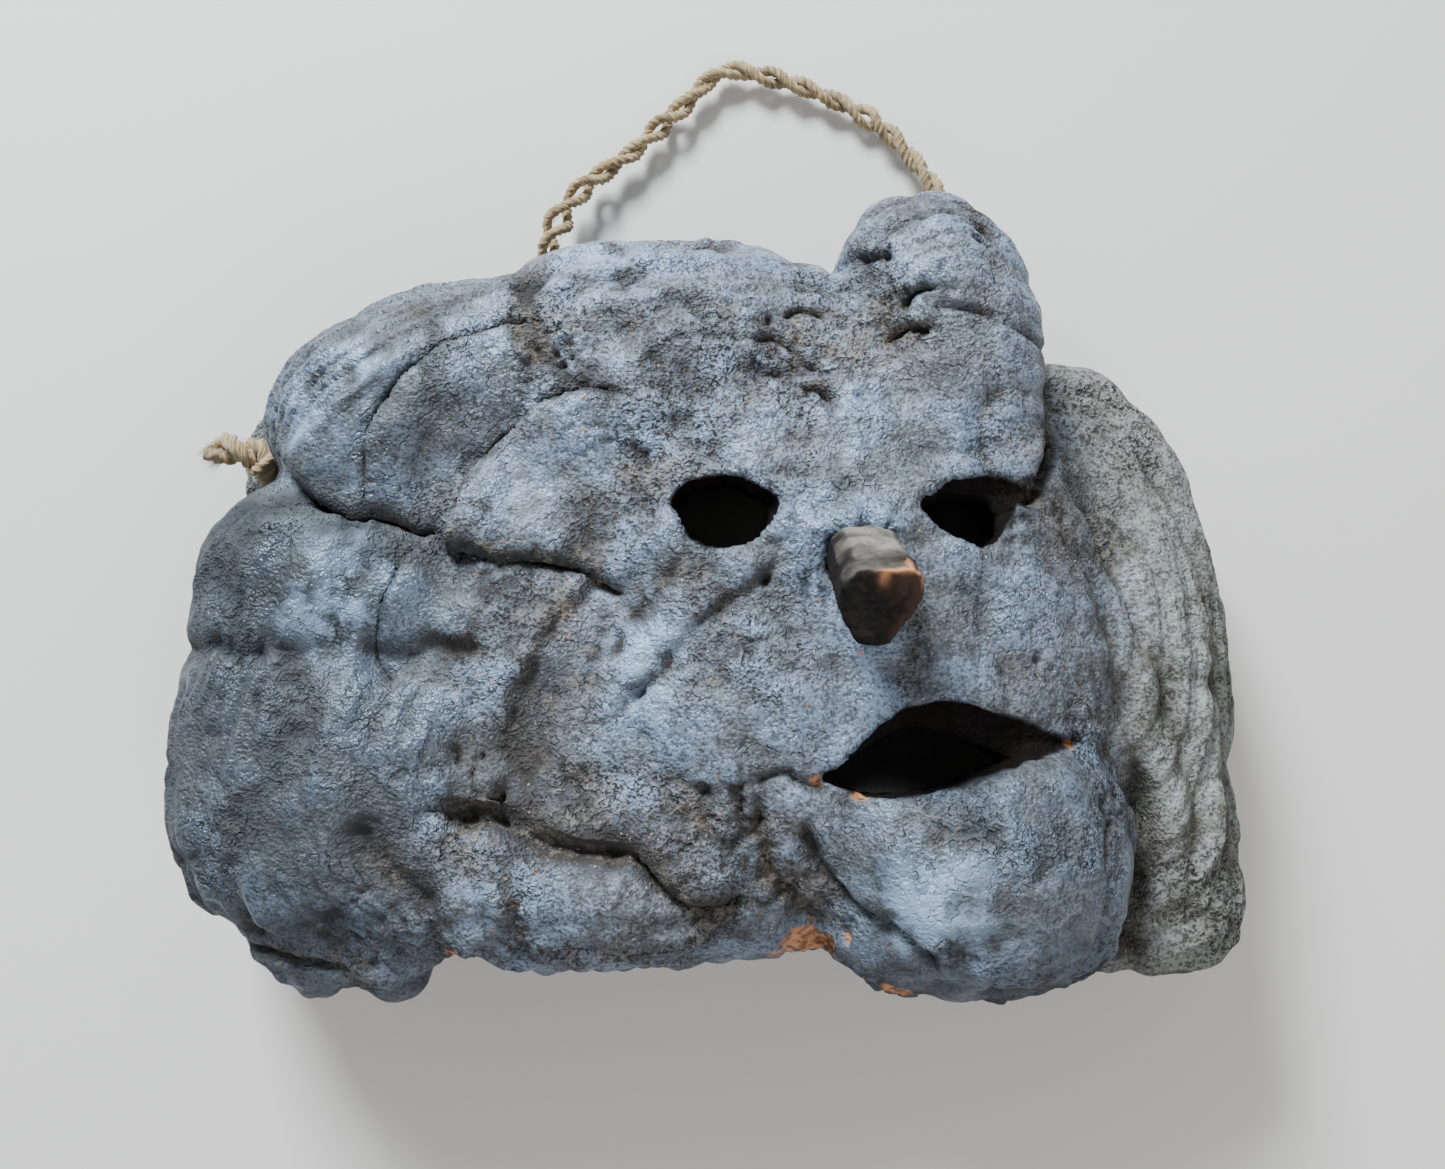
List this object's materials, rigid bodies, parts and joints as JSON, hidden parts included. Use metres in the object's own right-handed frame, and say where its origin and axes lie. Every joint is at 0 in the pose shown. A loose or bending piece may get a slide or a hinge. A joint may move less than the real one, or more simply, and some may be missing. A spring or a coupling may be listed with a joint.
{
  "type": "fungus mask",
  "caption": "Rustic hollow mask carved from a bracket fungus cluster, with two eye holes, a mouth slit, a wooden nose peg and a twisted hanging cord.",
  "frame": {"origin": "middle of the mask, without its free cord, at the plane that the back rim rests on", "axes": "+X towards the right of the face as it is looked at, +Y towards the brow, +Z out of the face"},
  "size_m": [0.325, 0.31, 0.1348],
  "materials": {
    "fungus": "matt",
    "fungus_grey": "matt",
    "peg_wood": "satin",
    "jute": "fibrous"
  },
  "bodies": {
    "mask": {"face_shell": "fungus", "right_rear_bracket": "fungus_grey", "rear_left_bracket": "fungus_grey", "nose_peg": "peg_wood", "cord_end_left": "jute", "cord_end_right": "jute", "cord_inner_run": "jute", "knot_left": "jute", "knot_right": "jute"},
    "loop": {"cord_loop": "jute"}
  },
  "joints": [
    {"name": "cord_loop_swing", "type": "hinge", "parent": "mask", "child": "loop", "pos_m": [-0.057, 0.117, 0.012], "axis": [0.9917, 0.1286, 0], "range_deg": [0, 90]}
  ]
}
